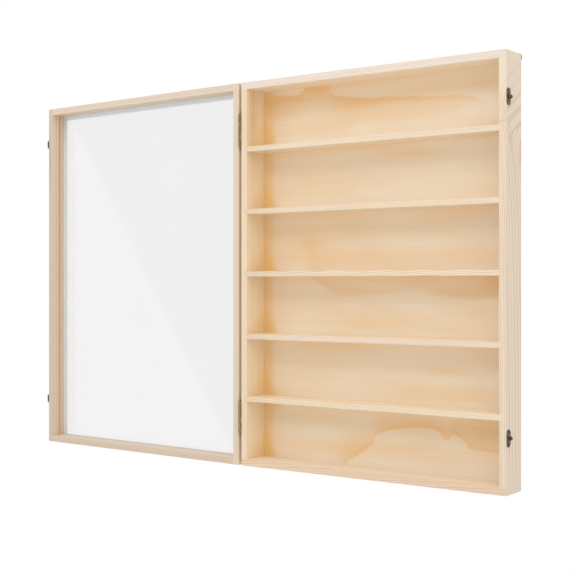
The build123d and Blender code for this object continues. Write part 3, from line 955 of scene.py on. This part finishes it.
@dataclass(frozen=True)
class SheetFinish:
    """A clear polished sheet with a faint haze, and the frame's shadow painted as a soft grey band along
    its top and latch edges.

    Attributes:
        name: the material's name.
        haze: the colour of the little that the sheet holds back.
        cover: how much each face holds back.
        painted_shadow: the colour of the frame's painted shadow.
        painted_shadow_cover: how much of what lies behind it the painted shadow holds back.
        painted_shadow_width: how far the whole painted shadow reaches from the frame, in metres.
        painted_shadow_fade: the width over which it clears, in metres.
        mirror: how much each face reflects when seen square on.
        smears, smear_cover: faint wiping marks, and how much they hold back.
        roughness, polish: how rough the haze and the reflections are.
    """

    name: str
    haze: Colour
    cover: float = 0.07
    painted_shadow: Colour = (0.91, 0.965, 0.99)
    painted_shadow_cover: float = 0.88
    painted_shadow_width: float = 3.5 * MM
    painted_shadow_fade: float = 6.2 * MM
    mirror: float = 0.042
    smears: Cloud = Cloud((9.0, 9.0, 5.0), 3.3, detail=3.0)
    smear_cover: float = 0.008
    roughness: float = 0.35
    polish: float = 0.02

    def build(self, half_width: float, half_height: float) -> bpy.types.Material:
        """Makes the material.

        Args:
            half_width: half the width of the opening that the sheet fills, in metres.
            half_height: half its height, in metres.

        Returns:
            The clear sheet.
        """
        material, recipe = new_material(self.name)
        place = resting_place(recipe, True)
        x, _, z = recipe.parts(place)
        # Painted shadow of the frame along the top and latch edges, made as a more opaque band.
        from_frame = recipe.maths("MINIMUM", half_width - x, half_height - z)
        painted_shadow_share = from_frame.rise(self.painted_shadow_width + self.painted_shadow_fade, self.painted_shadow_width)
        smears = self.smears.read(recipe, place) * self.smear_cover
        alpha = self.cover + painted_shadow_share * (self.painted_shadow_cover - self.cover) + smears
        colour = recipe.blend(self.haze, self.painted_shadow, painted_shadow_share / (painted_shadow_share + self.cover))
        body = recipe.principled({"Base Color": colour, "Alpha": alpha, "Roughness": self.roughness})
        shine = recipe.principled({"Base Color": paint(WHITE), "Metallic": 1.0, "Roughness": self.polish})
        recipe.surface(recipe.mixed(body, shine, self._reflected(recipe)))
        return material

    def _reflected(self, recipe: Recipe) -> Value:
        """How much the sheet reflects: more at a glancing angle, by the usual fifth power.

        Args:
            recipe: the material's nodes.

        Returns:
            The share of the light.
        """
        facing = recipe.node("ShaderNodeLayerWeight", None, {"Blend": 0.5})
        glancing = Value(recipe, facing.outputs["Facing"]) ** 5.0
        return glancing * (1.0 - self.mirror) + self.mirror


def dress(material: bpy.types.Material, *nodes: str) -> None:
    """Gives a material to pieces of the frame.

    Args:
        material: the finish.
        nodes: the names of the pieces.
    """
    for name in nodes:
        piece = frame["nodes"][name]
        for slot in piece.material_slots:
            slot.material = material
        log.info("%s is finished in %s", name, material.name)


def flame_patch(x: float, z: float, wide: float, high: float, strength: float) -> StainAndShade:
    """A soft patch on the plywood back, in millimetres.

    Args:
        x: its place across the panel.
        z: its height.
        wide: how far it spreads sideways.
        high: how far it spreads up and down.
        strength: how much late wood it adds, or takes away where it is below 0.

    Returns:
        The patch, which goes through the panel.
    """
    face, through = -3.0, 20.0
    return StainAndShade((x * MM, face * MM, z * MM), (wide * MM, through * MM, high * MM), strength)


@dataclass
class Case:
    """The box on the wall: four boards, a plywood back and five shelves.

    Attributes:
        shelves: for each shelf from the top, the colour of its edge, how many rings it crosses in a
            metre of its length and how strongly they show.
        shelf_seed, seed_step: the part of the tree that the shelves come from, and how far on each
            one is cut.
        shelf_slant, slant_step: the turn of their rings, and how much each one adds, in degrees.
        shelf_ends: the darker left ends of the shelves.
        side_painted_shade: the painted shade on the left side, in its corner with the back.
        back_painted_shade: the painted shade on the back, in the same corner.
        side_dark_patches: the darker patch at the top of the left side's inner face.
        knot: the knot that the right side's grain passes.
        knot_stains: the dark spots beside it.
        flames: the contours on the plywood.
        flame_patches: the soft patches on the plywood.
    """

    shelves: tuple[tuple[Colour, float, float], ...] = (
        ((0.88, 0.74, 0.56), 2.0, 0.3),
        ((0.875, 0.72, 0.54), -3.0, 0.3),
        ((0.93, 0.785, 0.605), -15.0, 0.8),
        ((0.87, 0.71, 0.555), 0.0, 0.2),
        ((0.91, 0.765, 0.57), 5.0, 0.4),
    )
    shelf_seed: float = 40.0
    seed_step: float = 5.3
    shelf_slant: float = 70.0
    slant_step: float = 3.0
    shelf_ends: tuple[StainAndShade, ...] = (StainAndShade((-0.205, -0.048, 0.0), (0.045, 0.025, 2.0), 0.22),)
    # Painted shade in the corner between the left side and the back, on each of the two boards.
    side_painted_shade: PaintedCornerShade = PaintedCornerShade(
        reach=42 * MM, height=40 * MM, column=10 * MM, column_share=0.05, strength=0.3
    )
    back_painted_shade: PaintedCornerShade = PaintedCornerShade(
        reach=27 * MM, height=75 * MM, column=19 * MM, column_share=0.65, strength=0.9
    )
    side_dark_patches: tuple[StainAndShade, ...] = (StainAndShade((-0.214, -0.033, 0.245), (0.004, 0.013, 0.08), 0.7),)
    knot: Swerve = Swerve(height=0.184)
    knot_stains: tuple[StainAndShade, ...] = (
        StainAndShade((0.225, -0.001, 0.162), (0.02, 0.007, 0.018), 0.7),
        StainAndShade((0.225, -0.034, 0.180), (0.02, 0.005, 0.008), 0.25),
    )
    flames: tuple[Contour, ...] = (
        Contour(
            points=(
                (-216, 284), (-140, 280), (-137, 292), (-91, 292), (-86, 279), (-74, 272), (-47, 268),
                (-14, 264), (19, 262), (69, 258), (119, 255), (150, 251), (171, 246), (216, 243),
            ),
            amber_above=False, fade=46 * MM, crispness=3 * MM, strength=0.62, ends=(-300, 165),
        ),
        Contour(
            points=(
                (-121, -11), (-87, -36), (-47, -39), (-1, -37), (33, -34), (53, -29), (76, -32),
                (103, -39), (149, -42), (216, -39),
            ),
            amber_above=True, fade=90 * MM, crispness=15 * MM, strength=0.65, ends=(-125, 300),
        ),
        Contour(
            points=(
                (-90, -330), (-57, -287), (-34, -271), (-14, -258), (-6, -240), (13, -233), (53, -226),
                (86, -224), (99, -229), (109, -241), (123, -231), (134, -234), (146, -249), (193, -253),
                (216, -253),
            ),
            amber_above=True, fade=52 * MM, crispness=2 * MM, strength=0.62, ends=(-300, 300),
        ),
    )
    flame_patches: tuple[StainAndShade, ...] = tuple(
        flame_patch(*patch) for patch in (
            (-113, 286, 26, 10, 0.5), (-205, 277, 34, 11, 0.6), (20, 285, 150, 14, 0.22),
            (20, 244, 90, 14, 0.13), (-140, 271, 50, 7, 0.3), (-35, 258, 45, 9, 0.15),
            (182, 205, 34, 7, 0.45), (-165, 230, 24, 10, -0.2), (-185, 255, 30, 14, 0.2),
            (-30, 216, 30, 10, -0.3), (165, 235, 30, 14, -0.4), (55, 176, 50, 7, 0.45),
            (-125, 48, 30, 8, 0.4), (192, -12, 24, 12, 0.4), (-140, -70, 45, 20, -0.25),
            (78, -49, 28, 6, -0.2), (-50, -48, 30, 5, -0.15), (0, -70, 90, 12, 0.2),
            (-120, -112, 40, 8, 0.25), (112, -140, 30, 6, 0.3), (-205, -208, 22, 8, 0.5),
            (-170, -283, 60, 12, 0.4), (-75, -276, 40, 12, 0.3), (-100, -242, 28, 7, -0.2),
            (175, -225, 50, 24, 0.42), (85, -215, 60, 10, 0.1),
        )
    )

    def build(self) -> None:
        """Dresses the case's boards, back and shelves."""
        self._dress_sides()
        self._dress_level_boards()
        self._dress_shelves()
        back = VeneerFinish(
            "pine_veneer", contours=self.flames, stains_and_shade=self.flame_patches, painted_shade=self.back_painted_shade
        )
        dress(back.build(), "back_panel")

    def _dress_sides(self) -> None:
        """Dresses the two upright boards."""
        right = PineFinish(
            "pine_right_side", Lie.UPRIGHT, seed=2.0, tone=(0.835, 0.69, 0.545), edge=(0.87, 0.735, 0.575),
            phase=0.28, wander=0.4, depth=0.55, swerve=self.knot, stains_and_shade=self.knot_stains,
        )
        dress(right.build(), "case_right_side")
        left = PineFinish(
            "pine_left_side", Lie.UPRIGHT, seed=11.0, tone=(0.935, 0.775, 0.55), edge=(0.87, 0.71, 0.53),
            slant=72.0, wander=0.7, depth=0.2, stains_and_shade=self.side_dark_patches, painted_shade=self.side_painted_shade,
        )
        dress(left.build(), "case_left_side")

    def _dress_level_boards(self) -> None:
        """Dresses the top board and the bottom board."""
        top = PineFinish(
            "pine_top_board", Lie.LEVEL, seed=23.0, tone=(0.92, 0.79, 0.62), edge=(0.845, 0.735, 0.635),
            depth=0.2, crossed=-6.0,
        )
        dress(top.build(), "case_top_board")
        bottom = PineFinish(
            "pine_bottom_board", Lie.LEVEL, seed=37.0, tone=(0.88, 0.75, 0.59), edge=(0.86, 0.655, 0.475),
            depth=0.5, crossed=-30.0, wander=1.4,
        )
        dress(bottom.build(), "case_bottom_board")

    def _dress_shelves(self) -> None:
        """Dresses the shelves, each cut from another part of the tree."""
        for number, (edge, crossed, depth) in enumerate(self.shelves, start=1):
            seed = self.shelf_seed + self.seed_step * number
            slant = self.shelf_slant + self.slant_step * number
            shelf = PineFinish(
                f"pine_shelf_{number}", Lie.LEVEL, seed=seed, tone=(0.90, 0.75, 0.56), edge=edge,
                slant=slant, crossed=crossed, depth=depth, wander=0.8, stains_and_shade=self.shelf_ends,
            )
            dress(shelf.build(), f"shelf_{number}")


@dataclass
class Door:
    """The deep frame with its clear sheet.

    Attributes:
        haze: the colour of the sheet's haze.
        latch_stains_and_shade: on the latch stile, a dark line along its inner face, painted shade on that
            face next to the sheet, and the streak of its front edge.
    """

    haze: Colour = (0.22, 0.22, 0.23)
    latch_stains_and_shade: tuple[StainAndShade, ...] = (
        StainAndShade((0.214, -0.0639, 0.0), (0.006, 0.0016, 2.0), 0.9),
        # Painted shade on the stile's inner face next to the sheet.
        StainAndShade((0.214, -0.0715, 0.0), (0.006, 0.006, 2.0), 0.25),
        StainAndShade((0.221, -0.0485, 0.205), (0.003, 0.004, 0.05), 0.35),
    )

    def build(self) -> None:
        """Dresses the door's frame and its sheet."""
        self._dress_stiles()
        self._dress_rails()
        low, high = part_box("case_left_side")
        thickness = high.x - low.x
        half_width = -low.x - thickness
        half_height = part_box("door_latch_stile")[1].z - thickness
        sheet = SheetFinish("clear_acrylic", self.haze)
        dress(sheet.build(half_width, half_height), "door_pane")

    def _dress_stiles(self) -> None:
        """Dresses the two upright members."""
        latch = PineFinish(
            "pine_latch_stile", Lie.UPRIGHT, seed=5.0, tone=(0.82, 0.63, 0.455), edge=(0.70, 0.58, 0.46),
            late=(0.62, 0.52, 0.42), depth=0.25, wander=0.35, stains_and_shade=self.latch_stains_and_shade, on_door=True,
        )
        dress(latch.build(), "door_latch_stile")
        hinge = PineFinish(
            "pine_hinge_stile", Lie.UPRIGHT, seed=15.0, tone=(0.80, 0.65, 0.49), edge=(0.825, 0.68, 0.53),
            depth=0.4, wander=0.5, on_door=True,
        )
        dress(hinge.build(), "door_hinge_stile")

    def _dress_rails(self) -> None:
        """Dresses the two level members."""
        top = PineFinish(
            "pine_top_rail", Lie.LEVEL, seed=25.0, tone=(0.77, 0.63, 0.49), edge=(0.785, 0.66, 0.54),
            depth=0.4, wander=0.4, on_door=True,
        )
        dress(top.build(), "door_top_rail")
        bottom = PineFinish(
            "pine_bottom_rail", Lie.LEVEL, seed=35.0, tone=(0.77, 0.64, 0.52), edge=(0.745, 0.61, 0.48),
            depth=0.5, wander=0.6, on_door=True,
        )
        dress(bottom.build(), "door_bottom_rail")


@dataclass
class Hardware:
    """The hinges, latches, hangers, screws and brads.

    Attributes:
        brass: the metal of the hinges.
        bronze: the metal of the latches and their catches.
        plating: the metal of the hangers.
        wire: the metal of the brads.
    """

    brass: MetalFinish = MetalFinish(
        "antique_brass", from_screen(166, 146, 106), from_screen(214, 190, 146),
        rubbed=0.55, roughness=0.45
    )
    bronze: MetalFinish = MetalFinish(
        "dark_bronze", from_screen(92, 78, 62), from_screen(164, 144, 118),
        rubbed=0.5, roughness=0.45, seed=9.0
    )
    plating: MetalFinish = MetalFinish(
        "dark_plating", from_screen(58, 52, 48), from_screen(112, 106, 100),
        rubbed=0.4, roughness=0.35, seed=17.0
    )
    wire: MetalFinish = MetalFinish(
        "bright_wire", from_screen(150, 148, 144), from_screen(205, 202, 196),
        rubbed=0.6, roughness=0.3, seed=29.0
    )

    def build(self) -> None:
        """Dresses every piece of metal."""
        brass, bronze, plating = (metal.build() for metal in (self.brass, self.bronze, self.plating))
        for place in ("upper", "lower"):
            dress(brass, *(f"{place}_hinge_{piece}" for piece in ("case_leaf", "door_leaf", "pin")))
            dress(bronze, *(f"{place}_latch_{piece}" for piece in ("plate", "pin", "tongue")))
            dress(bronze, f"{place}_catch_plate")
        dress(brass, "hinge_case_screws", "hinge_door_screws")
        dress(bronze, "catch_screws", "latch_plate_screws")
        for side in ("left", "right"):
            dress(plating, f"{side}_hanger_strap", f"{side}_hanger_ring")
        dress(plating, "hanger_screws")
        dress(self.wire.build(), "case_corner_brads", "back_panel_brads", "door_corner_brads")


@dataclass(frozen=True)
class SoftLight:
    """A square lamp that faces the cabinet.

    Attributes:
        name: the lamp's name.
        turn: its direction from straight ahead, to the right, in degrees.
        climb: its height above level, in degrees.
        width: its width, in metres.
        power: its power, in watts.
        distance: how far it stands from the cabinet, in metres.
    """

    name: str
    turn: float
    climb: float
    width: float
    power: float
    distance: float = 3.2

    def build(self) -> None:
        """Adds the lamp, unseen by the camera and in reflections."""
        turn, climb = math.radians(self.turn), math.radians(self.climb)
        level = math.cos(climb) * self.distance
        place = Vector((math.sin(turn) * level, -math.cos(turn) * level, math.sin(climb) * self.distance))
        light = bpy.data.lights.new(self.name, "AREA")
        light.size = self.width
        light.energy = self.power
        lamp = bpy.data.objects.new(self.name, light)
        lamp.location = place
        lamp.rotation_euler = (-place).to_track_quat("-Z", "Y").to_euler()
        lamp.visible_camera = False
        lamp.visible_glossy = False
        bpy.context.scene.collection.objects.link(lamp)
        log.info("%s is lit", self.name)


@dataclass
class Studio:
    """A plain pale floor, soft light and the camera.

    Attributes:
        floor_drop: how far the floor lies below the cabinet's middle, in metres.
        floor_radius, floor_sides: the floor's radius, in metres, and how many sides it has.
        floor_colour, floor_roughness: the floor's own colour, and how matt it is.
        white_floor: where the floor starts to turn white and where it is, as shares of its radius.
        ambient: the strength of the light from all round.
        camera_place: where the camera stands, in metres.
        camera_turn: the camera's turn from straight ahead, in degrees.
        focal_pixels: the focal length in widths of a pixel.
        horizon: how far the horizon lies above the picture's middle, in pixels.
        sensor: the sensor's width, in millimetres.
        softbox_edge: the direction that the edge of the bright half of the studio faces.
        edge_blur: half the softness of that edge.
        dim_half: the brightness that gloss sees in the other half.
        lights: the lamps.
    """

    floor_drop: float = 1.45
    floor_radius: float = 6.0
    floor_sides: int = 96
    floor_colour: Colour = (0.86, 0.86, 0.86)
    floor_roughness: float = 0.8
    white_floor: tuple[float, float] = (0.2, 0.5)
    ambient: float = 0.69
    camera_place: Point = (0.87925, -1.46451, -0.01464)
    camera_turn: float = 35.598
    focal_pixels: float = 1144.5
    horizon: float = 4.6
    sensor: float = 36.0
    softbox_edge: Point = (-0.6154, 0.6559, -0.4372)
    edge_blur: float = 0.0015
    dim_half: float = 0.55
    lights: tuple[SoftLight, ...] = (
        SoftLight("key_light", turn=-38.0, climb=40.0, width=2.4, power=13.3),
        SoftLight("top_light", turn=20.0, climb=55.0, width=3.0, power=37.6),
        SoftLight("side_light", turn=75.0, climb=10.0, width=3.0, power=11.0),
    )

    def build(self) -> None:
        """Sets the whole studio up."""
        bpy.context.scene.view_settings.view_transform = "Standard"
        self._floor()
        self._world()
        for light in self.lights:
            light.build()
        self._camera()

    def _floor(self) -> None:
        """A round floor that turns white far from the cabinet."""
        middle = (0.0, 0.0, -self.floor_drop)
        bpy.ops.mesh.primitive_circle_add(
            vertices=self.floor_sides, radius=self.floor_radius, fill_type="NGON", location=middle
        )
        floor = bpy.context.object
        floor.name = "floor"
        material, recipe = new_material("pale_floor")
        place = recipe.coordinate("Object")
        away = recipe.dot(place, place) ** 0.5
        far = away.rise(*(share * self.floor_radius for share in self.white_floor))
        inputs = {"Base Color": paint(self.floor_colour), "Roughness": self.floor_roughness}
        near_shader = recipe.principled(inputs)
        far_shader = recipe.node("ShaderNodeEmission", None, {"Color": paint(WHITE), "Strength": 1.0})
        recipe.surface(recipe.mixed(near_shader, far_shader.outputs[0], far))
        floor.data.materials.append(material)

    def _world(self) -> None:
        """White behind the cabinet, softer light on it, and two halves in its gloss."""
        world = bpy.data.worlds.new("studio")
        bpy.context.scene.world = world
        world.use_nodes = True
        recipe = Recipe(world.node_tree)
        path = recipe.node("ShaderNodeLightPath").outputs
        seen = Value(recipe, path["Is Camera Ray"]) + Value(recipe, path["Is Transmission Ray"])
        gloss = Value(recipe, path["Is Glossy Ray"])
        side = recipe.dot(recipe.coordinate("Generated"), self.softbox_edge)
        bright = side.rise(-self.edge_blur, self.edge_blur)
        reflected = bright * (1.0 - self.dim_half) + self.dim_half
        rest = recipe.maths("MAXIMUM", 1.0 - seen - gloss, 0.0)
        strength = seen + gloss * reflected + rest * self.ambient
        inputs = {"Color": paint(WHITE), "Strength": strength}
        background = recipe.node("ShaderNodeBackground", None, inputs)
        recipe.node("ShaderNodeOutputWorld", None, {"Surface": background.outputs[0]})

    def _camera(self) -> None:
        """A level camera to the right of the cabinet."""
        camera = bpy.data.cameras.new("camera")
        camera.sensor_width = self.sensor
        camera.lens = self.focal_pixels * self.sensor / IMAGE_WIDTH
        camera.shift_y = -self.horizon / IMAGE_WIDTH
        holder = bpy.data.objects.new("camera", camera)
        holder.location = self.camera_place
        holder.rotation_euler = (math.radians(90.0), 0.0, math.radians(self.camera_turn))
        bpy.context.scene.collection.objects.link(holder)
        bpy.context.scene.camera = holder


def main() -> None:
    """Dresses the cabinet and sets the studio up."""
    logging.basicConfig(level=logging.INFO, format="%(name)s: %(message)s")
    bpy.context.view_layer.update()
    for assembly in (Case(), Door(), Hardware(), Studio()):
        assembly.build()
        log.info("%s is in place", type(assembly).__name__)


if __name__ == "__main__":
    main()
